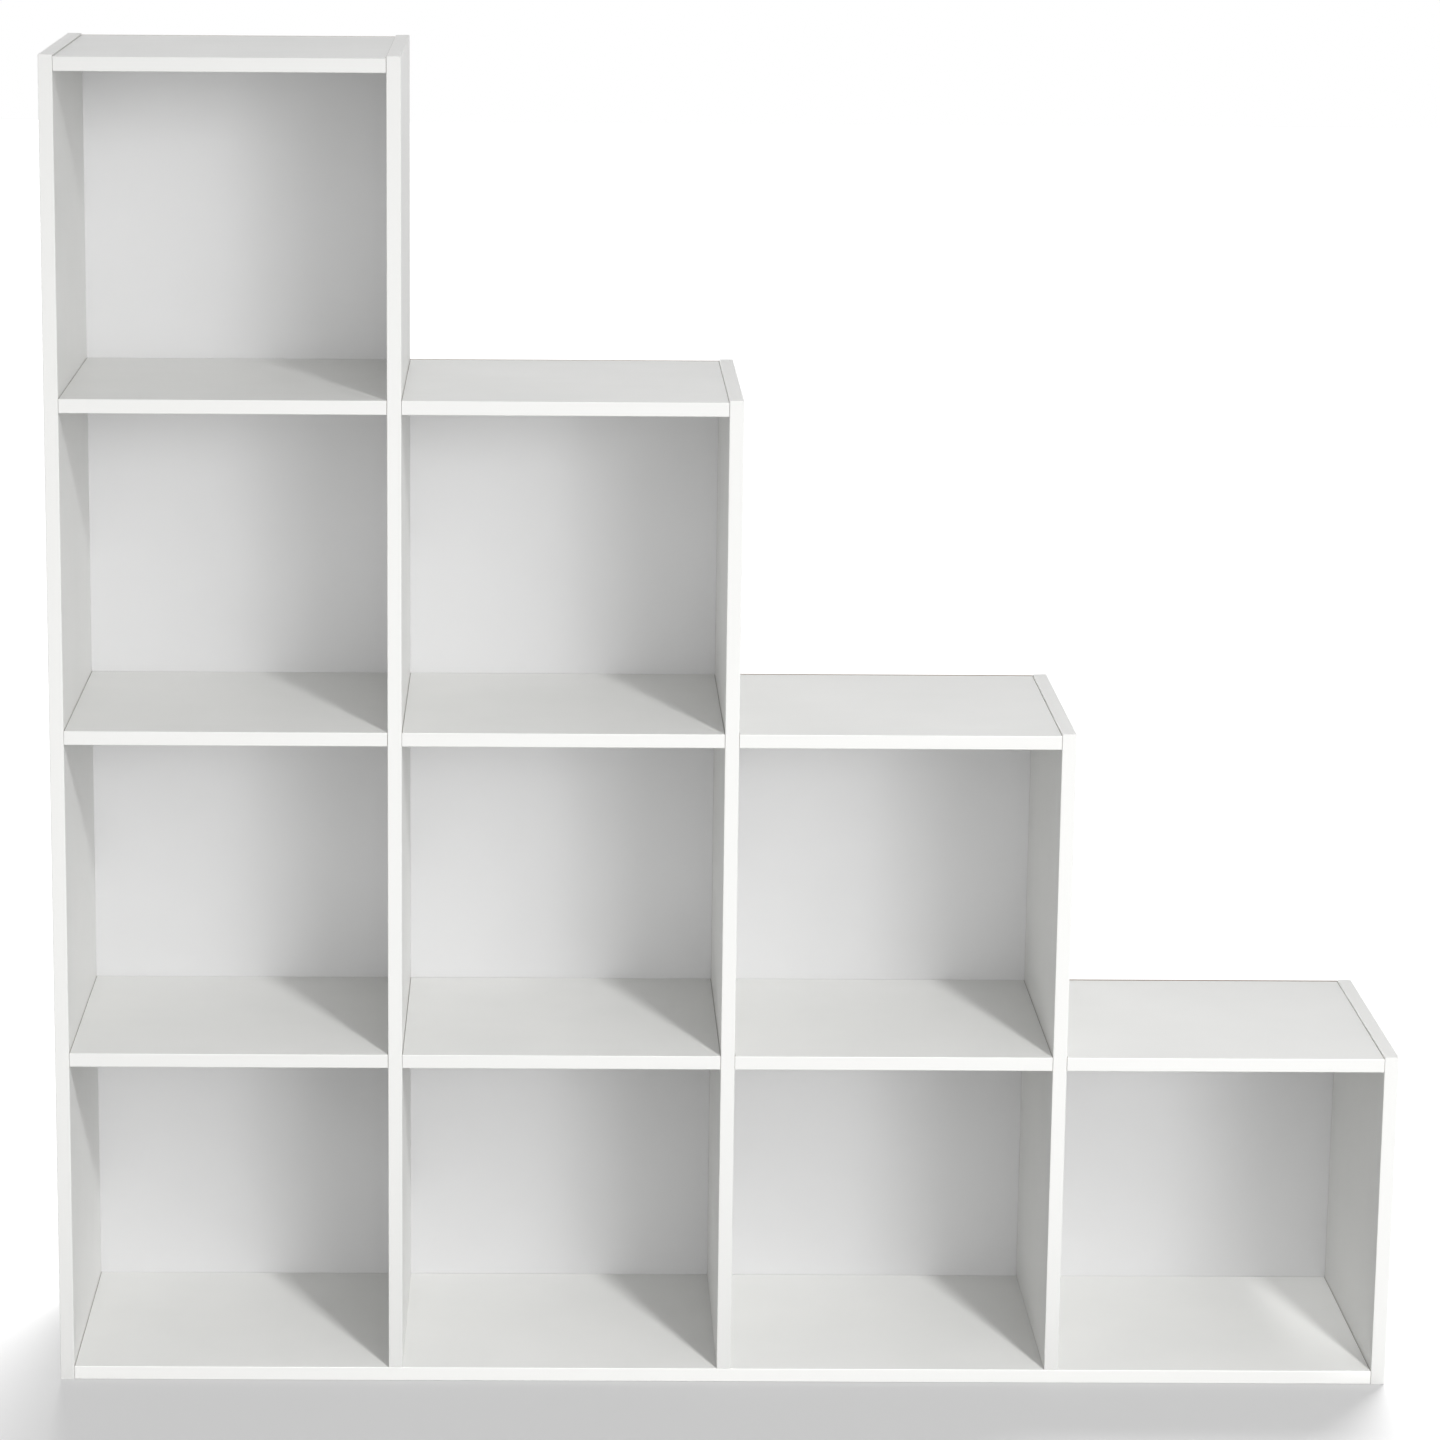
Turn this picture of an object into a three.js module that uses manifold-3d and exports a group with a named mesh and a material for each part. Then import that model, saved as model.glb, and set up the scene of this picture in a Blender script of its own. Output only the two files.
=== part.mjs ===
// Staircase bookshelf: four columns of compartments, each one lower than the last.
// Millimetres, +Z up. The open front faces -Y and the steps go down towards +X.
// The origin lies on the floor, in the middle of the outline.
// Each board is modelled lying or standing in a frame of its own and then placed in the group.

import * as THREE from 'three';
import { mergeVertices } from 'three/addons/utils/BufferGeometryUtils.js';
import Module from 'manifold-3d';

const wasm = await Module();
wasm.setup();

// Carcass
const columnCount = 4;
const boardThickness = 15;
const boardDepth = 287;
const bayWidth = 340;
const bayHeight = 338;
const topReveal = 2;
const edgeRadius = 0.8;

// Gaps between pieces that rest on or fit in each other
const boardSeam = 0.3;
const fitClearance = 0.3;
const cutOverrun = 1;

// Back panels
const panelThickness = 3;
const panelMargin = 2;
const panelJoint = 1;

// Connectors along the depth and along each board
const connectorSetback = 37;
const camReach = 24;
const blindSkin = 3.5;

// Cam bolt: wood screw stem, shank, thin neck and the head that the cam grips
const stemRadius = 2.5;
const stemTip = 2;
const shankRadius = 3.5;
const neckRadius = 2.2;
const headRadius = 3.3;
const headShoulder = 1;
const headLength = 3.4;

// Cam disc, built up from the bolt's head outwards
const headBite = 1.7;
const camLift = 1;
const camWall = 1.2;
const camRoof = 1.2;
const camSink = 0.4;
const driverSlotWidth = 1.8;
const driverDepthShare = 0.6;
const driverLengthShare = 0.7;

// Dowel
const dowelRadius = 4;
const dowelChamfer = 1;
const dowelReach = 14;

// Base screw: countersunk head with a hexagon socket, collar in the base and core in the divider
const screwLength = 50;
const screwSink = 0.5;
const screwHeadRadius = 5;
const screwRim = 1;
const screwCollarRadius = 3.5;
const screwCoreRadius = 2.5;
const screwTip = 3;
const socketRadius = 2.3;
const socketDepth = 2.5;

// Facets
const edgeSegments = 1;
const camSides = 10;
const boltSides = 6;
const dowelSides = 8;
const screwSides = 8;
const socketSides = 6;
const spiralSteps = 5;

// Sizes that follow
const columnPitch = bayWidth + boardThickness;
const rowPitch = bayHeight + boardThickness;
const overallWidth = columnCount * columnPitch + boardThickness;
const overallDepth = boardDepth + boardSeam + panelThickness;
const frontY = -overallDepth / 2;
const midPlane = boardThickness / 2;
const blindDepth = boardThickness - blindSkin;
const connectorYs = { front: connectorSetback, rear: boardDepth - connectorSetback };
const dowelY = boardDepth / 2;
const camTightRadius = headRadius + headBite;
const camWideRadius = camTightRadius + camLift;
const camRadius = camWideRadius + camWall;
const pocketRadius = camRadius + fitClearance;
const pocketDepth = midPlane + headRadius + fitClearance + camRoof;
const shankEnd = camReach - pocketRadius;
// The rim of the head bears on the round wall of the chamber, so it sits this far before the cam's axis
const chamberFlat = camTightRadius * Math.cos(Math.PI / camSides) - fitClearance;
const headSeat = Math.sqrt(chamberFlat ** 2 - headRadius ** 2);

const rowsIn = (column) => columnCount - column;
const uprightRows = (index) => rowsIn(Math.max(index - 1, 0));
const uprightLeft = (index) => index * columnPitch - overallWidth / 2;
const levelTop = (level) => boardThickness + level * rowPitch;

// Level 0 is the base board, which only meets the two sides
function boardsAt(upright, level) {
  if (level === 0) return { left: upright === columnCount, right: upright === 0 };
  const left = upright > 0 && level <= rowsIn(upright - 1);
  const right = upright < columnCount && level <= rowsIn(upright);
  return { left, right };
}

function isCrossing(upright, level) {
  const { left, right } = boardsAt(upright, level);
  return left && right;
}

const melamine = new THREE.MeshStandardMaterial({ color: 0xf1f0ec, roughness: 0.35, metalness: 0 });
const hardboard = new THREE.MeshStandardMaterial({ color: 0xe6e6e4, roughness: 0.45, metalness: 0 });
const zinc = new THREE.MeshStandardMaterial({ color: 0xb9bcc0, roughness: 0.35, metalness: 0.9 });

// A three.js geometry becomes a solid once its shared vertices are merged and
// the slivers that collapse on a lathe's axis are dropped.
function solid(geometry) {
  geometry.deleteAttribute('normal');
  geometry.deleteAttribute('uv');
  const merged = mergeVertices(geometry);
  const corners = merged.index.array;
  const triangles = [];
  for (let i = 0; i < corners.length; i += 3) {
    const [a, b, c] = corners.slice(i, i + 3);
    if (a !== b && b !== c && c !== a) triangles.push(a, b, c);
  }
  return new wasm.Manifold(new wasm.Mesh({
    numProp: 3,
    vertProperties: new Float32Array(merged.attributes.position.array),
    triVerts: new Uint32Array(triangles),
  }));
}

function geometryOf(body) {
  const mesh = body.getMesh();
  const geometry = new THREE.BufferGeometry();
  geometry.setAttribute('position', new THREE.BufferAttribute(mesh.vertProperties, 3));
  geometry.setIndex(new THREE.BufferAttribute(mesh.triVerts, 1));
  return geometry;
}

function piece(name, geometry, material, position) {
  const faceted = geometry.toNonIndexed();
  faceted.computeVertexNormals();
  const mesh = new THREE.Mesh(faceted, material);
  mesh.name = name;
  mesh.position.copy(position);
  return mesh;
}

const placed = (body, x, y, z) => body.translate([x, y, z]);
const union = (bodies) => bodies.reduce((sum, body) => sum.add(body));
const cutAll = (body, cuts) => cuts.reduce((rest, cut) => rest.subtract(cut), body);

// A closed profile of [radius, height] points turned round the Z axis
function turned(profile, sides) {
  const points = profile.map(([radius, height]) => new THREE.Vector2(radius, height));
  const geometry = new THREE.LatheGeometry(points, sides, Math.PI / sides);
  return geometry.rotateX(Math.PI / 2);
}

function prism(points, bottom, top) {
  const shape = new THREE.Shape(points.map(([x, y]) => new THREE.Vector2(x, y)));
  const geometry = new THREE.ExtrudeGeometry(shape, { depth: top - bottom, bevelEnabled: false });
  return geometry.translate(0, 0, bottom);
}

const alongX = (geometry) => geometry.rotateY(Math.PI / 2);

// A round bore along X, from one end to the other
function bore(radius, from, to, sides) {
  const profile = [[0, from], [radius, from], [radius, to], [0, to]];
  return solid(alongX(turned(profile, sides)));
}

// The banded front edge, at y = 0, is rounded on both corners
function frontRounded(low, high) {
  const shape = new THREE.Shape();
  shape.moveTo(boardDepth, low);
  shape.lineTo(boardDepth, high);
  shape.lineTo(edgeRadius, high);
  shape.absarc(edgeRadius, high - edgeRadius, edgeRadius, Math.PI / 2, Math.PI, false);
  shape.absarc(edgeRadius, low + edgeRadius, edgeRadius, Math.PI, 1.5 * Math.PI, false);
  shape.closePath();
  return shape;
}

function extruded(shape, length) {
  const settings = { depth: length, bevelEnabled: false, curveSegments: edgeSegments };
  return new THREE.ExtrudeGeometry(shape, settings);
}

// A lying board: x from 0 to its length, y from 0 to its depth, its top face at z = 0
function lyingBoard(length) {
  const axes = new THREE.Matrix4().makeBasis(
    new THREE.Vector3(0, 1, 0), new THREE.Vector3(0, 0, 1), new THREE.Vector3(1, 0, 0));
  return solid(extruded(frontRounded(-boardThickness, 0), length).applyMatrix4(axes));
}

// An upright board: x from 0 to its thickness, its lower end at z = 0.
// Its outline from above, extruded upwards, is trimmed to its outline from the front,
// which rounds the banded upper end.
function uprightBoard(height) {
  const mirrored = new THREE.Matrix4().makeBasis(
    new THREE.Vector3(0, 1, 0), new THREE.Vector3(1, 0, 0), new THREE.Vector3(0, 0, -1));
  const plan = extruded(frontRounded(0, boardThickness), height).applyMatrix4(mirrored);
  plan.translate(0, 0, height);
  const front = new THREE.Shape();
  front.moveTo(0, 0);
  front.lineTo(boardThickness, 0);
  front.lineTo(boardThickness, height - edgeRadius);
  front.absarc(boardThickness - edgeRadius, height - edgeRadius, edgeRadius, 0, Math.PI / 2, false);
  front.absarc(edgeRadius, height - edgeRadius, edgeRadius, Math.PI / 2, Math.PI, false);
  front.closePath();
  const trim = extruded(front, boardDepth + 2 * cutOverrun).rotateX(Math.PI / 2);
  trim.translate(0, boardDepth + cutOverrun, 0);
  return solid(plan).intersect(solid(trim));
}

// The cam disc in its locked position, its face plate down at z = 0 and its bolt coming from -X.
// A C-shaped wall stands on the plate. Inside it is spiral, so that turning the disc draws the
// bolt's head in. The bolt's neck passes over the low part of the wall, which ends at the window
// that the head entered by before the disc was turned.
const lockedAngle = Math.PI;
const turnToLock = THREE.MathUtils.degToRad(207);
const angleMargin = THREE.MathUtils.degToRad(30);
const windowAngle = lockedAngle - turnToLock;
const slotPastLock = lockedAngle + angleMargin;

function spiral(from, to, steps) {
  const points = [];
  for (let i = 0; i <= steps; i += 1) {
    const angle = from + (to - from) * i / steps;
    const turn = (slotPastLock - angle) / (slotPastLock - windowAngle);
    const radius = camTightRadius + camLift * Math.min(Math.max(turn, 0), 1);
    points.push([radius * Math.cos(angle), radius * Math.sin(angle)]);
  }
  return points;
}

function camDisc() {
  const slotHalf = neckRadius + fitClearance;
  const headHalf = headRadius + fitClearance;
  const plateTop = midPlane - headHalf;
  const discTop = pocketDepth + cutOverrun;
  const past = camRadius + cutOverrun;
  const windowTurn = THREE.MathUtils.radToDeg(windowAngle);
  const disc = solid(turned([
    [0, camSink], [camRadius, camSink], [camRadius, discTop], [0, discTop],
  ], camSides));
  const outline = spiral(windowAngle - angleMargin, slotPastLock + angleMargin, spiralSteps);
  const chamber = solid(prism(outline, plateTop, pocketDepth));
  const fan = [[0, 0]];
  for (const angle of [windowAngle, windowAngle / 2 + slotPastLock / 2, slotPastLock]) {
    fan.push([2 * past * Math.cos(angle), 2 * past * Math.sin(angle)]);
  }
  const slot = solid(prism(fan, midPlane - slotHalf, pocketDepth));
  const window = solid(prism(
    [[0, -headHalf], [past, -headHalf], [past, headHalf], [0, headHalf]], plateTop, pocketDepth));
  const driverLength = camRadius * driverLengthShare;
  const driverHalf = driverSlotWidth / 2;
  const driver = solid(prism([
    [-driverLength, -driverHalf], [driverLength, -driverHalf],
    [driverLength, driverHalf], [-driverLength, driverHalf],
  ], camSink - cutOverrun, camSink + (plateTop - camSink) * driverDepthShare));
  const cuts = [chamber, slot, window.rotate([0, 0, windowTurn]), driver.rotate([0, 0, windowTurn])];
  return cutAll(disc, cuts);
}

const camPocket = solid(turned([
  [0, -cutOverrun], [pocketRadius, -cutOverrun], [pocketRadius, pocketDepth], [0, pocketDepth],
], camSides));
const lockedCam = camDisc();

// Cuts and cams for one end of a lying board. The end is at x, and inward is +1 or -1 into the board.
function camJoint(x, inward) {
  const cuts = [];
  const cams = [];
  const turn = inward > 0 ? 0 : 180;
  for (const y of Object.values(connectorYs)) {
    const ends = [x - inward * cutOverrun, x + inward * camReach].sort((a, b) => a - b);
    cuts.push(placed(bore(shankRadius + fitClearance, ...ends, boltSides), 0, y, -midPlane));
    cuts.push(placed(camPocket, x + inward * camReach, y, -boardThickness));
    cams.push(placed(lockedCam.rotate([0, 0, turn]), x + inward * camReach, y, -boardThickness));
  }
  return { cuts, cams };
}

// A dowel that stands out of a face by its length, along +Z, with a chamfered tip
function dowel(length) {
  return solid(turned([
    [0, -cutOverrun], [dowelRadius, -cutOverrun], [dowelRadius, length - dowelChamfer],
    [dowelRadius - dowelChamfer, length], [0, length],
  ], dowelSides));
}

function sidewaysDowel(x, outward, length) {
  return placed(dowel(length).rotate([0, outward * 90, 0]), x, dowelY, -midPlane);
}

const blindDowel = boardSeam + blindDepth - fitClearance;
const throughDowel = boardSeam + boardThickness + boardSeam + dowelReach;

// A shelf or top board between two uprights
function shelfBoard(column, level) {
  const length = bayWidth - 2 * boardSeam;
  const left = camJoint(0, 1);
  const right = camJoint(length, -1);
  const cuts = [...left.cuts, ...right.cuts];
  const added = [...left.cams, ...right.cams];
  if (isCrossing(column, level)) {
    const dowelBore = bore(dowelRadius + fitClearance, -cutOverrun, dowelReach + fitClearance, dowelSides);
    cuts.push(placed(dowelBore, 0, dowelY, -midPlane));
  } else {
    added.push(sidewaysDowel(0, -1, blindDowel));
  }
  added.push(sidewaysDowel(length, 1, isCrossing(column + 1, level) ? throughDowel : blindDowel));
  return union([cutAll(lyingBoard(length), cuts), ...added]);
}

const screwNeck = screwSink + screwRim;
const screwCone = screwHeadRadius - screwCollarRadius;
const screwEnd = screwSink + screwLength;

// The countersunk bore follows the screw at the fit clearance, measured square to its 45 degree cone
function screwBore() {
  const wider = screwHeadRadius + fitClearance;
  const collar = screwCollarRadius + fitClearance;
  const coneStart = screwNeck + fitClearance * (Math.SQRT2 - 1);
  return solid(turned([
    [0, -cutOverrun], [wider, -cutOverrun], [wider, coneStart], [collar, coneStart + screwCone],
    [collar, boardThickness + cutOverrun], [0, boardThickness + cutOverrun],
  ], screwSides));
}

// The base board carries the dividers, so its top face has their blind dowel bores
function baseBoard() {
  const length = overallWidth - 2 * boardThickness - 2 * boardSeam;
  const left = camJoint(0, 1);
  const right = camJoint(length, -1);
  const cuts = [...left.cuts, ...right.cuts];
  const dowelBore = solid(turned([
    [0, -blindDepth], [dowelRadius + fitClearance, -blindDepth], [dowelRadius + fitClearance, cutOverrun],
    [0, cutOverrun],
  ], dowelSides));
  for (let divider = 1; divider < columnCount; divider += 1) {
    const x = divider * columnPitch - midPlane - boardSeam;
    cuts.push(placed(dowelBore, x, dowelY, 0));
    for (const y of Object.values(connectorYs)) {
      cuts.push(placed(screwBore(), x, y, -boardThickness));
    }
  }
  const dowels = [sidewaysDowel(0, -1, blindDowel), sidewaysDowel(length, 1, blindDowel)];
  return union([cutAll(lyingBoard(length), cuts), ...left.cams, ...right.cams, ...dowels]);
}

// Bores in an upright at one level: through where boards meet it on both faces, else blind
function levelBores(upright, level, bottom) {
  const { left, right } = boardsAt(upright, level);
  const z = levelTop(level) - midPlane - bottom;
  const start = left ? -cutOverrun : boardThickness - blindDepth;
  const end = right ? boardThickness + cutOverrun : blindDepth;
  const boltRadius = left && right ? shankRadius : stemRadius;
  const bores = [placed(bore(dowelRadius + fitClearance, start, end, dowelSides), 0, dowelY, z)];
  for (const y of Object.values(connectorYs)) {
    bores.push(placed(bore(boltRadius + fitClearance, start, end, boltSides), 0, y, z));
  }
  return bores;
}

function upright(index) {
  const isSide = index === 0 || index === columnCount;
  const bottom = isSide ? 0 : boardThickness + boardSeam;
  const height = levelTop(uprightRows(index)) + topReveal - bottom;
  const cuts = [];
  for (let level = isSide ? 0 : 1; level <= uprightRows(index); level += 1) {
    cuts.push(...levelBores(index, level, bottom));
  }
  if (!isSide) {
    const depth = screwEnd - bottom + fitClearance;
    const radius = screwCoreRadius + fitClearance;
    const pilot = solid(turned([
      [0, -cutOverrun], [radius, -cutOverrun], [radius, depth], [0, depth],
    ], screwSides));
    for (const y of Object.values(connectorYs)) cuts.push(placed(pilot, midPlane, y, 0));
  }
  const board = cutAll(uprightBoard(height), cuts);
  return isSide ? board : board.add(placed(dowel(blindDowel).rotate([180, 0, 0]), midPlane, dowelY, 0));
}

// The bolt's half in the board, as [radius, distance] from the face of the upright outwards
function gripProfile() {
  const headRim = boardSeam + camReach - headSeat;
  const headBack = headRim - headShoulder;
  return [
    [shankRadius, boardSeam + shankEnd], [neckRadius, boardSeam + shankEnd],
    [neckRadius, headBack], [headRadius, headRim], [0, headBack + headLength],
  ];
}

// One-sided bolt: x = 0 is the upright's face, the stem goes towards -X and the head towards +X
function camBolt() {
  const stemEnd = fitClearance - blindDepth;
  return geometryOf(solid(alongX(turned([
    [0, stemEnd], [stemRadius, stemEnd + stemTip], [stemRadius, fitClearance],
    [shankRadius, fitClearance], ...gripProfile(),
  ], boltSides))));
}

// Two-sided bolt, centred in the divider
function doubleBolt() {
  const half = gripProfile().map(([radius, distance]) => [radius, distance + midPlane]);
  const mirrored = half.map(([radius, distance]) => [radius, -distance]).reverse();
  return geometryOf(solid(alongX(turned([...mirrored, ...half], boltSides))));
}

function baseScrew() {
  const body = solid(turned([
    [0, screwSink], [screwHeadRadius, screwSink], [screwHeadRadius, screwNeck],
    [screwCollarRadius, screwNeck + screwCone], [screwCollarRadius, boardThickness],
    [screwCoreRadius, boardThickness], [screwCoreRadius, screwEnd - screwTip], [0, screwEnd],
  ], screwSides));
  const socket = solid(turned([
    [0, screwSink - cutOverrun], [socketRadius, screwSink - cutOverrun],
    [socketRadius, screwSink + socketDepth], [0, screwSink + socketDepth],
  ], socketSides));
  return geometryOf(body.subtract(socket));
}

function uprightName(index) {
  if (index === 0) return 'left_side';
  return index === columnCount ? 'right_side' : `divider_${index}`;
}

function carcass() {
  const group = new THREE.Group();
  for (let index = 0; index <= columnCount; index += 1) {
    const isSide = index === 0 || index === columnCount;
    const place = new THREE.Vector3(uprightLeft(index), frontY, isSide ? 0 : boardThickness + boardSeam);
    group.add(piece(uprightName(index), geometryOf(upright(index)), melamine, place));
  }
  const innerLeft = (column) => uprightLeft(column) + boardThickness + boardSeam;
  const basePlace = new THREE.Vector3(innerLeft(0), frontY, levelTop(0));
  group.add(piece('base_board', geometryOf(baseBoard()), melamine, basePlace));
  for (let column = 0; column < columnCount; column += 1) {
    for (let level = 1; level <= rowsIn(column); level += 1) {
      const isTop = level === rowsIn(column);
      const name = isTop ? `top_board_${column + 1}` : `shelf_${column + 1}_${level}`;
      const place = new THREE.Vector3(innerLeft(column), frontY, levelTop(level));
      group.add(piece(name, geometryOf(shelfBoard(column, level)), melamine, place));
    }
  }
  return group;
}

// One thin panel per column, which overlaps the rear edges of its boards
function backPanels() {
  const group = new THREE.Group();
  for (let column = 0; column < columnCount; column += 1) {
    const leftEnd = column === 0 ? panelMargin : midPlane + panelJoint / 2;
    const rightEnd = column === columnCount - 1 ? boardThickness - panelMargin : midPlane - panelJoint / 2;
    const left = uprightLeft(column) + leftEnd;
    const right = uprightLeft(column + 1) + rightEnd;
    const top = levelTop(rowsIn(column)) + topReveal - panelMargin;
    const geometry = new THREE.BoxGeometry(right - left, panelThickness, top - panelMargin);
    const place = new THREE.Vector3(
      (left + right) / 2, overallDepth / 2 - panelThickness / 2, (top + panelMargin) / 2);
    group.add(piece(`back_panel_${column + 1}`, geometry, hardboard, place));
  }
  return group;
}

function fittings() {
  const group = new THREE.Group();
  const oneSided = camBolt();
  const twoSided = doubleBolt();
  for (let index = 0; index <= columnCount; index += 1) {
    for (let level = 0; level <= uprightRows(index); level += 1) {
      const { left, right } = boardsAt(index, level);
      const z = levelTop(level) - midPlane;
      for (const [row, setback] of Object.entries(connectorYs)) {
        const tag = `${uprightName(index)}_${level}_${row}`;
        const y = frontY + setback;
        const face = uprightLeft(index);
        if (left && right) {
          const place = new THREE.Vector3(face + midPlane, y, z);
          group.add(piece(`double_bolt_${tag}`, twoSided, zinc, place));
        } else if (left || right) {
          const place = new THREE.Vector3(right ? face + boardThickness : face, y, z);
          const bolt = piece(`cam_bolt_${tag}`, oneSided, zinc, place);
          bolt.rotation.z = right ? 0 : Math.PI;
          group.add(bolt);
        }
      }
    }
  }
  const screw = baseScrew();
  for (let divider = 1; divider < columnCount; divider += 1) {
    for (const [row, setback] of Object.entries(connectorYs)) {
      const place = new THREE.Vector3(uprightLeft(divider) + midPlane, frontY + setback, 0);
      group.add(piece(`base_screw_${divider}_${row}`, screw, zinc, place));
    }
  }
  return group;
}

const bookshelf = new THREE.Group();
bookshelf.add(carcass(), backPanels(), fittings());

export default bookshelf;
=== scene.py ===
"""Looks of the white staircase bookshelf: finishes, nails of the back panels, studio light, camera."""
import math
import random

import bmesh
import bpy
from mathutils import Matrix, Vector


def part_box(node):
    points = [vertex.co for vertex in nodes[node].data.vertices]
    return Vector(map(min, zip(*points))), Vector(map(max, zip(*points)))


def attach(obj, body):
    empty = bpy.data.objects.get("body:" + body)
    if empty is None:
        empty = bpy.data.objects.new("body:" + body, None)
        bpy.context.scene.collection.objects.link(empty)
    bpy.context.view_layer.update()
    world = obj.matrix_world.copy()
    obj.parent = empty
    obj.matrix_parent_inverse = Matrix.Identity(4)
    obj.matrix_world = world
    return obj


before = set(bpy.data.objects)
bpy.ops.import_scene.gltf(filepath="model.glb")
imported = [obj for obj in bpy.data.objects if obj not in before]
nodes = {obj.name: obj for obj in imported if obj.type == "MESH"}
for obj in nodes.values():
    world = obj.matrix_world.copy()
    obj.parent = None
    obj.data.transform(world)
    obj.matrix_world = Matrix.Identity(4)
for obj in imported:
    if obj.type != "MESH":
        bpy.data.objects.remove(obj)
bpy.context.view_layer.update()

scene = bpy.context.scene
MM = 0.001

# Pieces by kind
UPRIGHTS = ["left_side", "divider_1", "divider_2", "divider_3", "right_side"]
PANELS = sorted(name for name in nodes if name.startswith("back_panel_"))
LYING = ["base_board"] + sorted(name for name in nodes if name.startswith(("shelf_", "top_board_")))
STEEL = sorted(name for name in nodes if name.startswith(("cam_bolt_", "double_bolt_", "base_screw_")))

# Sizes that the finishes follow
BAND = 0.9 * MM
GLUE_LINE = 0.12 * MM
SKIN = 0.1 * MM
# Width of the painted seam shade: a dark line on a lying board's faces at its ends
SEAM_SHADE_WIDTH = 0.5 * MM

# Gap at each end of a lying board
SEAM = 0.3 * MM

# Cams: how far from the board's end and long edge, their radius, and a height above their plates
CAM_REACH = 24 * MM
CAM_SETBACK = 37 * MM
CAM_ROUND = 7.35 * MM
CAM_PLATE = 5 * MM

# A face looks along an axis where its normal has more than this of it
FACING = 0.5

# Colours
MELAMINE = (0.80, 0.80, 0.785, 1)
MELAMINE_SHADE = (0.775, 0.777, 0.762, 1)
BANDING = (0.805, 0.805, 0.79, 1)
GLUE = (0.55, 0.53, 0.48, 1)
GLUE_SHARE = 0.35
# Painted shade: the dark line on a lying board's faces at its ends, standing in for the seam's shade
SEAM_SHADE = (0.38, 0.37, 0.34, 1)
CHIP_LIGHT = (0.52, 0.39, 0.24, 1)
CHIP_DARK = (0.27, 0.17, 0.09, 1)
CHIP_CONTRAST = 1.2
BEECH_LIGHT = (0.62, 0.43, 0.26, 1)
BEECH_DARK = (0.45, 0.28, 0.15, 1)
FOIL = (0.80, 0.80, 0.805, 1)
FOIL_SHADE = (0.78, 0.78, 0.785, 1)
FIBRE_LIGHT = (0.33, 0.20, 0.11, 1)
FIBRE_DARK = (0.19, 0.11, 0.06, 1)
CLOUD_SHARE = 0.4
ZINC_LIGHT = (0.70, 0.71, 0.73, 1)
ZINC_DARK = (0.52, 0.53, 0.56, 1)
WHITE = (1, 1, 1, 1)

# Roughness, or its lowest and highest value, and specular level
MELAMINE_ROUGHNESS = (0.35, 0.41)
BANDING_ROUGHNESS = 0.36
CHIP_ROUGHNESS = 0.85
CAM_ROUGHNESS = 0.38
DOWEL_ROUGHNESS = 0.6
FOIL_ROUGHNESS = (0.42, 0.52)
FIBRE_ROUGHNESS = 0.8
ZINC_ROUGHNESS = (0.29, 0.43)
MELAMINE_SPECULAR = 0.45
PANEL_SPECULAR = 0.4
ZINC_SPECULAR = 0.5

# Depth of the relief
GRAIN_DEPTH = 0.003 * MM
WAVE_DEPTH = 0.02 * MM
FIBRE_DEPTH = 0.12 * MM
FOIL_DEPTH = 0.004 * MM
ZINC_DEPTH = 0.01 * MM

# Noises: features per metre, detail and roughness
MOTTLE = (6, 3.0, 0.55)
WIPE = (9, 4.0, 0.6)
WAVES = (14, 1.0, 0.4)
GRAIN = (850, 3.0, 0.6)
FLAKE_TINT = (420, 4.0, 0.7)
BEECH_FIBRES = (300, 3.0, 0.6)
FOIL_MOTTLE = (5, 3.0, 0.5)
FOIL_WIPE = (12, 3.0, 0.5)
FOIL_GRAIN = (700, 2.0, 0.5)
FIBRES = (260, 5.0, 0.7)
FIBRE_CLOUDS = (9, 4.0, 0.6)
ZINC_SPECKS = (1800, 3.0, 0.6)
ZINC_LUSTRE = (400, 2.0, 0.5)

# How much denser than its scale a noise is along x, y and z
WIPE_DENSITY = (1, 4, 1)
BEECH_DENSITY = (0.1, 1, 1)

# Lowest and highest value of a texture that still make a difference
MOTTLE_RANGE = (0.35, 0.65)
LUSTRE_RANGE = (0.3, 0.7)
FLAKE_RANGE = (0.1, 0.9)
FIBRE_RANGE = (0.45, 0.95)

# Chips per metre, and the pitch and share of the screen pressed into the hardboard
FLAKES = 700
SCREEN_PITCH = 1.496 * MM
SCREEN_SHARE = 0.4

# Sockets of a Mix node, by what it mixes: its two inputs and its output
MIX_SOCKETS = {"FLOAT": (2, 3, 0), "VECTOR": (4, 5, 1), "RGBA": (6, 7, 2)}


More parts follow.
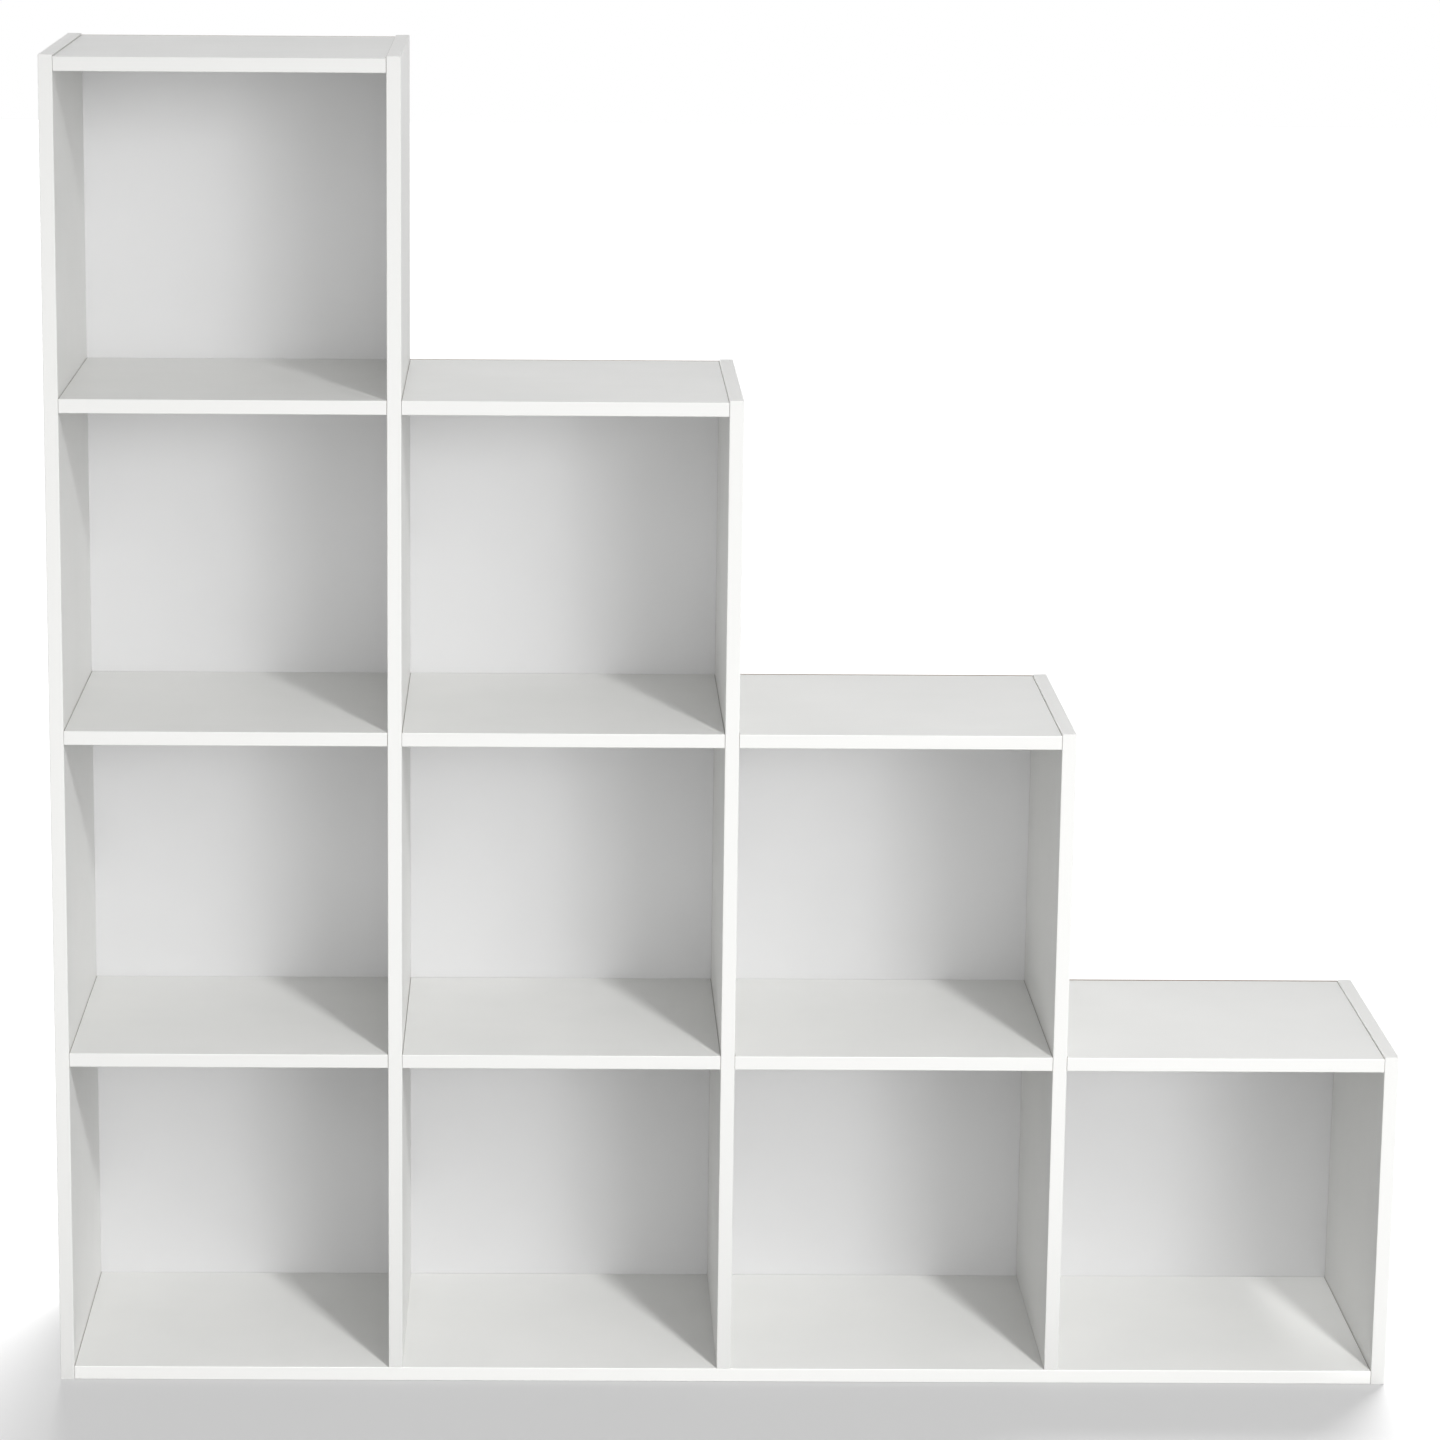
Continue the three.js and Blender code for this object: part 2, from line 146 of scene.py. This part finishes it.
class Nodes:
    """Builds a tree of nodes. Numbers may be plain or another node's output."""

    def __init__(self, tree):
        self.tree = tree
        self.tree.nodes.clear()

    def node(self, kind, **settings):
        made = self.tree.nodes.new(kind)
        for key, value in settings.items():
            setattr(made, key, value)
        return made

    def feed(self, socket, value):
        """Links another node's output to a socket, or sets the socket's own value."""
        if isinstance(value, bpy.types.NodeSocket):
            self.tree.links.new(value, socket)
        else:
            socket.default_value = value

    def surface(self, kind, shader):
        """Ends the tree with an output node that shows a shader."""
        self.feed(self.node(kind).inputs["Surface"], shader.outputs[0])

    def math(self, operation, *values):
        made = self.node("ShaderNodeMath", operation=operation)
        for socket, value in zip(made.inputs, values):
            self.feed(socket, value)
        return made.outputs[0]

    def product(self, first, *others):
        for other in others:
            first = self.math("MULTIPLY", first, other)
        return first

    def within(self, value, limit):
        """1 where the value is nearer to zero than the limit, else 0."""
        return self.math("LESS_THAN", self.math("ABSOLUTE", value), limit)

    def beyond(self, value, limit):
        """1 where the value is farther from zero than the limit, else 0."""
        return self.math("GREATER_THAN", self.math("ABSOLUTE", value), limit)

    def split(self, vector):
        made = self.node("ShaderNodeSeparateXYZ")
        self.feed(made.inputs[0], vector)
        return made.outputs

    def ranged(self, value, limits, to=(0.0, 1.0)):
        """A value within limits, drawn out to another range."""
        made = self.node("ShaderNodeMapRange")
        for key, number in zip(("Value", "From Min", "From Max", "To Min", "To Max"),
                               (value, *limits, *to)):
            self.feed(made.inputs[key], number)
        return made.outputs[0]

    def mix(self, kind, share, first, second):
        """A number, normal or colour between two, by share."""
        one, two, out = MIX_SOCKETS[kind]
        made = self.node("ShaderNodeMix", data_type=kind)
        self.feed(made.inputs[0], share)
        self.feed(made.inputs[one], first)
        self.feed(made.inputs[two], second)
        return made.outputs[out]

    def blend(self, share, first, second):
        """A colour between two, by share."""
        return self.mix("RGBA", share, first, second)

    def between(self, share, first, second):
        """A number between two, by share."""
        return self.mix("FLOAT", share, first, second)

    def bump(self, height, depth, under=None):
        """Relief of a height from 0 to 1, depth in metres."""
        made = self.node("ShaderNodeBump")
        made.inputs["Strength"].default_value = 1.0
        made.inputs["Distance"].default_value = depth
        self.feed(made.inputs["Height"], height)
        if under is not None:
            self.feed(made.inputs["Normal"], under)
        return made.outputs[0]


class Shader(Nodes):
    """Builds one material of the object."""

    def __init__(self, name):
        self.material = bpy.data.materials.new(name)
        self.material.use_nodes = True
        super().__init__(self.material.node_tree)
        self.place = self.node("ShaderNodeTexCoord").outputs["Object"]
        self.true_normal = self.node("ShaderNodeNewGeometry").outputs["True Normal"]

    def denser(self, density):
        """The place on the object, with each axis scaled."""
        made = self.node("ShaderNodeVectorMath", operation="MULTIPLY")
        self.feed(made.inputs[0], self.place)
        made.inputs[1].default_value = density
        return made.outputs[0]

    def noise(self, numbers, place=None):
        """A noise from 0 to 1, from its features per metre, detail and roughness."""
        made = self.node("ShaderNodeTexNoise")
        self.feed(made.inputs["Vector"], place or self.place)
        for key, number in zip(("Scale", "Detail", "Roughness"), numbers):
            made.inputs[key].default_value = number
        return made.outputs["Fac"]

    def cells(self, scale):
        """Distance from the middle of the nearest cell, with scale cells per metre."""
        made = self.node("ShaderNodeTexVoronoi")
        self.feed(made.inputs["Vector"], self.place)
        made.inputs["Scale"].default_value = scale
        return made.outputs["Distance"]

    def finish(self, colour, roughness, normal, metallic, specular):
        shader = self.node("ShaderNodeBsdfPrincipled")
        shader.inputs["Specular IOR Level"].default_value = specular
        self.feed(shader.inputs["Base Color"], colour)
        self.feed(shader.inputs["Roughness"], roughness)
        self.feed(shader.inputs["Metallic"], metallic)
        self.feed(shader.inputs["Normal"], normal)
        self.surface("ShaderNodeOutputMaterial", shader)
        return self.material


def chipboard(look):
    """Pressed wood chips: flakes a millimetre or two long, darker between them."""
    tint = look.product(look.noise(FLAKE_TINT), CHIP_CONTRAST)
    flake = look.blend(tint, CHIP_DARK, CHIP_LIGHT)
    return look.blend(look.ranged(look.cells(FLAKES), FLAKE_RANGE), flake, CHIP_DARK)


def white_melamine(look, face, band, band_in):
    """The faces' faint mottle, the banding's own white and the glue line between them."""
    mottle = look.ranged(look.noise(MOTTLE), MOTTLE_RANGE)
    white = look.blend(band, look.blend(mottle, MELAMINE, MELAMINE_SHADE), BANDING)
    glue = look.product(look.within(look.math("SUBTRACT", band_in, BAND), GLUE_LINE), face)
    return look.blend(look.product(glue, GLUE_SHARE), white, GLUE)


def span(name):
    """x of the two sides of the gap that a lying board fills."""
    if name == "base_board":
        first, last = "left_side", "right_side"
    else:
        column = int(name.removeprefix("top_board_").removeprefix("shelf_").split("_")[0])
        first, last = UPRIGHTS[column - 1], UPRIGHTS[column]
    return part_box(first)[1].x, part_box(last)[0].x


def cam_mask(look, low, dx, dy, half_length, half_depth):
    """1 on the four cam discs: on the walls, which face away from a disc's middle, and on the plates."""
    z = look.split(look.place)[2]
    nx, ny, nz = look.split(look.true_normal)
    along = look.math("SUBTRACT", look.math("ABSOLUTE", dx), half_length - CAM_REACH)
    aside = look.math("SUBTRACT", look.math("ABSOLUTE", dy), half_depth - CAM_SETBACK)
    apart = look.math("SQRT", look.math("ADD", look.product(along, along), look.product(aside, aside)))
    near = look.math("LESS_THAN", apart, CAM_ROUND)
    outward = look.math("ADD", look.product(along, look.product(nx, look.math("SIGN", dx))),
                        look.product(aside, look.product(ny, look.math("SIGN", dy))))
    downward = look.math("LESS_THAN", nz, -FACING)
    plate = look.product(look.math("LESS_THAN", z, low.z + CAM_PLATE), downward)
    return look.product(near, look.math("MAXIMUM", look.math("GREATER_THAN", outward, 0.0), plate))


def board_material(name, upright):
    """White melamine with a banded front edge. Behind the skin the board is chipboard. A lying board
    also has painted shade, a dark line on its faces at its ends where the seam is shaded, its zinc cams
    and, past its ends, its beech dowels."""
    low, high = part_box(name)
    look = Shader(f"melamine_{name}")
    x, y, z = look.split(look.place)
    nx, _, nz = look.split(look.true_normal)
    across, facing, axis = (x, nx, 0) if upright else (z, nz, 2)
    outer = look.math("MAXIMUM", look.math("LESS_THAN", across, low[axis] + SKIN),
                      look.math("GREATER_THAN", across, high[axis] - SKIN))
    face = look.product(outer, look.beyond(facing, FACING))
    band_in = look.math("SUBTRACT", y, low.y)
    if upright:
        band_in = look.math("MINIMUM", band_in, look.math("SUBTRACT", high.z, z))
    band = look.math("LESS_THAN", band_in, BAND)
    skin = look.math("MAXIMUM", face, band)

    grain = look.noise(GRAIN)
    colour = look.blend(skin, chipboard(look), white_melamine(look, face, band, band_in))
    wiped = look.ranged(look.noise(WIPE, look.denser(WIPE_DENSITY)), LUSTRE_RANGE, MELAMINE_ROUGHNESS)
    roughness = look.between(skin, CHIP_ROUGHNESS, look.between(band, wiped, BANDING_ROUGHNESS))
    metal = 0.0
    if not upright:
        left, right = span(name)
        half_length = (right - left) / 2 - SEAM
        dx = look.math("SUBTRACT", x, (left + right) / 2)
        dy = look.math("SUBTRACT", y, (low.y + high.y) / 2)
        behind_band = look.math("SUBTRACT", 1.0, band)
        # Painted shade of the seam: a dark line on the faces, just inside the board's ends
        seam_shade = look.product(look.beyond(dx, half_length - SEAM_SHADE_WIDTH), face, behind_band)
        colour = look.blend(seam_shade, colour, SEAM_SHADE)
        metal = look.product(cam_mask(look, low, dx, dy, half_length, (high.y - low.y) / 2),
                             look.math("SUBTRACT", 1.0, skin))
        colour = look.blend(metal, colour, look.blend(grain, ZINC_DARK, ZINC_LIGHT))
        roughness = look.between(metal, roughness, CAM_ROUGHNESS)
        dowel = look.beyond(dx, half_length + SKIN)
        beech = look.noise(BEECH_FIBRES, look.denser(BEECH_DENSITY))
        colour = look.blend(dowel, colour, look.blend(beech, BEECH_DARK, BEECH_LIGHT))
        roughness = look.between(dowel, roughness, DOWEL_ROUGHNESS)
    wave = look.bump(look.noise(WAVES), WAVE_DEPTH, look.bump(grain, GRAIN_DEPTH))
    return look.finish(colour, roughness, wave, metallic=metal, specular=MELAMINE_SPECULAR)


def panel_material(name):
    """Hardboard: pale foil on the front, bare brown fibre with a pressed screen pattern behind."""
    look = Shader(f"hardboard_{name}")
    x, _, z = look.split(look.place)
    front = look.math("LESS_THAN", look.split(look.true_normal)[1], -FACING)
    foil = look.blend(look.ranged(look.noise(FOIL_MOTTLE), MOTTLE_RANGE), FOIL, FOIL_SHADE)
    foil_roughness = look.ranged(look.noise(FOIL_WIPE), LUSTRE_RANGE, FOIL_ROUGHNESS)
    foil_side = look.bump(look.noise(FOIL_GRAIN), FOIL_DEPTH)

    fibres = look.noise(FIBRES)
    clouds = look.product(look.noise(FIBRE_CLOUDS), CLOUD_SHARE)
    cloudy = look.ranged(look.math("ADD", fibres, clouds), FIBRE_RANGE)
    brown = look.blend(cloudy, FIBRE_DARK, FIBRE_LIGHT)
    turns = 2 * math.pi / SCREEN_PITCH
    screen = look.product(*(look.math("SINE", look.product(value, turns)) for value in (x, z)))
    fibre_side = look.bump(look.math("ADD", look.product(screen, SCREEN_SHARE), fibres), FIBRE_DEPTH)

    colour = look.blend(front, brown, foil)
    roughness = look.between(front, FIBRE_ROUGHNESS, foil_roughness)
    normal = look.mix("VECTOR", front, fibre_side, foil_side)
    return look.finish(colour, roughness, normal, metallic=0.0, specular=PANEL_SPECULAR)


def zinc_material(name):
    """Bright zinc plate with a fine uneven lustre."""
    look = Shader(name)
    speck = look.noise(ZINC_SPECKS)
    colour = look.blend(speck, ZINC_DARK, ZINC_LIGHT)
    roughness = look.ranged(look.noise(ZINC_LUSTRE), LUSTRE_RANGE, ZINC_ROUGHNESS)
    normal = look.bump(speck, ZINC_DEPTH)
    return look.finish(colour, roughness, normal, metallic=1.0, specular=ZINC_SPECULAR)


def dress(name, material):
    mesh = nodes[name].data
    mesh.materials.clear()
    mesh.materials.append(material)


for name in UPRIGHTS:
    dress(name, board_material(name, upright=True))
for name in LYING:
    dress(name, board_material(name, upright=False))
for name in PANELS:
    dress(name, panel_material(name))
zinc = zinc_material("zinc_plate")
for name in STEEL:
    dress(name, zinc)

# Nails that hold the back panels
NAIL_PITCH = 140 * MM
NAIL_END = 22 * MM
NAIL_IN = 3.5 * MM
NAIL_HEAD = 1.6 * MM
NAIL_HEAD_DEPTH = 0.5 * MM
NAIL_PROUD = 0.05 * MM
NAIL_SHANK = 0.7 * MM
NAIL_LENGTH = 20 * MM
NAIL_SIDES = 12
NAIL_ASTRAY = 1 * MM
NAIL_UP_OR_DOWN = 3 * MM
NAIL_SEED = 11
random.seed(NAIL_SEED)

# Radius of a nail's rings and how far out of the panel they lie, from the top of its head to its point
NAIL_RINGS = [(0.0, NAIL_PROUD), (0.6 * NAIL_HEAD, 0.8 * NAIL_PROUD),
              (NAIL_HEAD, -0.2 * NAIL_HEAD_DEPTH), (NAIL_HEAD, -0.5 * NAIL_HEAD_DEPTH),
              (NAIL_SHANK, -NAIL_HEAD_DEPTH), (NAIL_SHANK, -0.9 * NAIL_LENGTH), (0.0, -NAIL_LENGTH)]


def nail_mesh(nails, x, y, z):
    """One nail driven along -Y. The middle of its domed head stands a little proud of the panel at y."""
    turns = [2 * math.pi * i / NAIL_SIDES for i in range(NAIL_SIDES)]
    rings = []
    for radius, out in NAIL_RINGS:
        if radius == 0.0:
            rings.append([nails.verts.new((x, y + out, z))])
        else:
            circle = [(radius * math.cos(turn), radius * math.sin(turn)) for turn in turns]
            rings.append([nails.verts.new((x + across, y + out, z + up)) for across, up in circle])
    for first, second in zip(rings, rings[1:]):
        for i in range(NAIL_SIDES):
            j = (i + 1) % NAIL_SIDES
            if len(first) == 1:
                nails.faces.new((first[0], second[i], second[j]))
            elif len(second) == 1:
                nails.faces.new((first[i], second[0], first[j]))
            else:
                nails.faces.new((first[i], second[i], second[j], first[j]))


def spaced(start, end):
    """Places from start to end, about a nail pitch apart."""
    count = max(1, round((end - start) / NAIL_PITCH))
    return [start + (end - start) * i / count for i in range(count + 1)]


def nail_places(panel):
    """x and z of a panel's nails: up both its edges, then along each board that it covers."""
    low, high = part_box(panel)
    column = panel.split("_")[-1]
    left, right = low.x + NAIL_IN, high.x - NAIL_IN
    places = []
    for z in spaced(low.z + NAIL_END, high.z - NAIL_END):
        places += [(left, z), (right, z)]
    covered = [name for name in LYING if name.startswith((f"shelf_{column}_", f"top_board_{column}"))]
    for board in covered + ["base_board"]:
        board_low, board_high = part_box(board)
        places += [(x, (board_low.z + board_high.z) / 2) for x in spaced(left, right)[1:-1]]
    return places


def nails_for(panel):
    """One panel's nails as a piece, each a little off its place as if driven by hand."""
    name = panel.replace("back_panel", "nails")
    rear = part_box(panel)[1].y
    nails = bmesh.new()
    for x, z in nail_places(panel):
        x += random.uniform(-NAIL_ASTRAY, NAIL_ASTRAY)
        z += random.uniform(-NAIL_UP_OR_DOWN, NAIL_UP_OR_DOWN)
        nail_mesh(nails, x, rear, z)
    bmesh.ops.recalc_face_normals(nails, faces=nails.faces)
    mesh = bpy.data.meshes.new(name)
    nails.to_mesh(mesh)
    nails.free()
    for polygon in mesh.polygons:
        polygon.use_smooth = True
    mesh.materials.append(zinc)
    piece = bpy.data.objects.new(name, mesh)
    scene.collection.objects.link(piece)
    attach(piece, "root")


for panel in PANELS:
    nails_for(panel)

# Floor, in metres: white to the camera but for the object's shadow
FLOOR_FRONT = -9.0
FLOOR_BACK = 14.0
FLOOR_SIDE = 12.0
FLOOR_DROP = 0.2 * MM
FLOOR_SHADE = (0.3, 0.3, 0.3, 1)
FLOOR_LIFT = 0.45


def floor_material(name):
    """A grey that takes the lamps' light and shadow, and a glow that only the camera sees."""
    material = bpy.data.materials.new(name)
    material.use_nodes = True
    tree = Nodes(material.node_tree)
    diffuse = tree.node("ShaderNodeBsdfDiffuse")
    diffuse.inputs["Color"].default_value = FLOOR_SHADE
    glow = tree.node("ShaderNodeEmission")
    glow.inputs["Color"].default_value = WHITE
    seen = tree.node("ShaderNodeLightPath").outputs["Is Camera Ray"]
    tree.feed(glow.inputs["Strength"], tree.product(seen, FLOOR_LIFT))
    both = tree.node("ShaderNodeAddShader")
    tree.feed(both.inputs[0], diffuse.outputs[0])
    tree.feed(both.inputs[1], glow.outputs[0])
    tree.surface("ShaderNodeOutputMaterial", both)
    return material


def white_floor(name):
    """A plane, a little lower than what stands on it."""
    corners = [(-FLOOR_SIDE, FLOOR_FRONT), (FLOOR_SIDE, FLOOR_FRONT), (FLOOR_SIDE, FLOOR_BACK),
               (-FLOOR_SIDE, FLOOR_BACK)]
    mesh = bpy.data.meshes.new(name)
    mesh.from_pydata([(x, y, -FLOOR_DROP) for x, y in corners], [], [(0, 1, 2, 3)])
    mesh.materials.append(floor_material("floor_white"))
    ground = bpy.data.objects.new(name, mesh)
    scene.collection.objects.link(ground)
    return ground


floor = white_floor("floor")

# World: how bright it is as ambient light, where white is 1
AMBIENT = 0.455


def white_world(name):
    """White behind the object and in reflections, and a plain grey level as ambient light."""
    world = bpy.data.worlds.new(name)
    world.use_nodes = True
    tree = Nodes(world.node_tree)
    path = tree.node("ShaderNodeLightPath").outputs
    mirrored = tree.math("MAXIMUM", path["Is Glossy Ray"], path["Is Transmission Ray"])
    white = tree.math("MAXIMUM", path["Is Camera Ray"], mirrored)
    background = tree.node("ShaderNodeBackground")
    background.inputs["Color"].default_value = WHITE
    tree.feed(background.inputs["Strength"], tree.ranged(white, (0.0, 1.0), (AMBIENT, 1.0)))
    tree.surface("ShaderNodeOutputWorld", background)
    scene.world = world


white_world("studio")

# Lamps: places and sizes in metres, angles in degrees
KEY_PLACE = (2.0, -4.9, 4.3)
KEY_AIM = (-0.5, 0, -1.9)
# Lightens the key's shadow in the corner of the last column, where the photograph has none
CORNER_PLACE = (0.685, -4.618, 1.725)
CORNER_AIM = (0.685, 0.08, 0.015)
boards = [nodes[name] for name in UPRIGHTS + LYING + STEEL]
base_board = [nodes["base_board"]]
panels = [nodes[name] for name in PANELS]


def hang(light, lit, direction):
    """Adds a lamp whose light comes from a direction. Only the pieces in lit get it, as with the flags
    and grids of a studio."""
    lamp = bpy.data.objects.new(light.name, light)
    lamp.rotation_euler = direction.to_track_quat("Z", "Y").to_euler()
    scene.collection.objects.link(lamp)
    receivers = bpy.data.collections.new(f"lit_by_{light.name}")
    for piece in lit:
        receivers.objects.link(piece)
    lamp.light_linking.receiver_collection = receivers
    return lamp


def softbox(name, lit, place, aim, size, grid, power):
    """A square lamp. grid is the angle that its honeycomb lets through."""
    light = bpy.data.lights.new(name, "AREA")
    light.shape = "SQUARE"
    light.size = size
    light.spread = math.radians(grid)
    light.energy = power
    hang(light, lit, Vector(place) - Vector(aim)).location = place


def snoot(name, lit, place, aim, radius, cone, power):
    """A small lamp in a tube. cone is the angle of its light, which fades towards the edge."""
    light = bpy.data.lights.new(name, "SPOT")
    light.shadow_soft_size = radius
    light.spot_size = math.radians(cone)
    light.spot_blend = 1.0
    light.energy = power
    hang(light, lit, Vector(place) - Vector(aim)).location = place


def far_lamp(name, lit, azimuth, elevation, softness, level):
    """A far soft lamp. Azimuth 0 is the front and 90 the right, softness is the angle it fills, and
    level is how bright a white face turned to it gets."""
    light = bpy.data.lights.new(name, "SUN")
    light.angle = math.radians(softness)
    light.energy = level * math.pi
    turn, rise = math.radians(azimuth), math.radians(elevation)
    across, back = math.sin(turn) * math.cos(rise), -math.cos(turn) * math.cos(rise)
    hang(light, lit, Vector((across, back, math.sin(rise))))


softbox("key", boards, KEY_PLACE, KEY_AIM, size=0.5, grid=48, power=27.9)
far_lamp("front_fill", boards, azimuth=20, elevation=-10, softness=90, level=0.66)
far_lamp("base_kicker", base_board, azimuth=0, elevation=4, softness=10, level=0.165)
snoot("corner_lamp", base_board, CORNER_PLACE, CORNER_AIM, radius=0.02, cone=2.1, power=750)
far_lamp("panel_side_light", panels, azimuth=40, elevation=4, softness=28, level=0.295)
far_lamp("panel_front_light", panels, azimuth=24, elevation=10, softness=20, level=0.185)
far_lamp("panel_fill", panels, azimuth=-10, elevation=12, softness=50, level=0.16)
far_lamp("floor_light", [floor], azimuth=165, elevation=58, softness=26, level=2.24)
far_lamp("rear_fill", boards + panels, azimuth=215, elevation=6, softness=30, level=0.35)

# Camera: place and reach in metres, turns in degrees, shifts as shares of the picture
CAMERA_PLACE = (-0.1995, -4.5982, 1.7902)
CAMERA_YAW = -0.437
CAMERA_PITCH = -11.426
CAMERA_ROLL = -0.388
CAMERA_SHIFT_X = 0.10
CAMERA_SHIFT_Y = -0.10
CAMERA_REACH = 100.0
SENSOR_WIDTH = 36.0
FOCAL_PIXELS = 4354.8
PHOTO_PIXELS = 1440.0


def photo_camera(name):
    """The photograph's view, fitted with less shift than the photograph has."""
    data = bpy.data.cameras.new(name)
    data.sensor_width = SENSOR_WIDTH
    data.lens = SENSOR_WIDTH * FOCAL_PIXELS / PHOTO_PIXELS
    data.shift_x = CAMERA_SHIFT_X
    data.shift_y = CAMERA_SHIFT_Y
    data.clip_end = CAMERA_REACH
    yaw = Matrix.Rotation(math.radians(CAMERA_YAW), 4, "Z")
    pitch = Matrix.Rotation(math.radians(CAMERA_PITCH), 4, "X")
    roll = Matrix.Rotation(math.radians(CAMERA_ROLL), 4, "Y")
    level = Matrix.Rotation(math.pi / 2, 4, "X")
    camera = bpy.data.objects.new(name, data)
    camera.matrix_world = Matrix.Translation(CAMERA_PLACE) @ yaw @ pitch @ roll @ level
    scene.collection.objects.link(camera)
    scene.camera = camera


photo_camera("camera")
scene.view_settings.view_transform = "Standard"
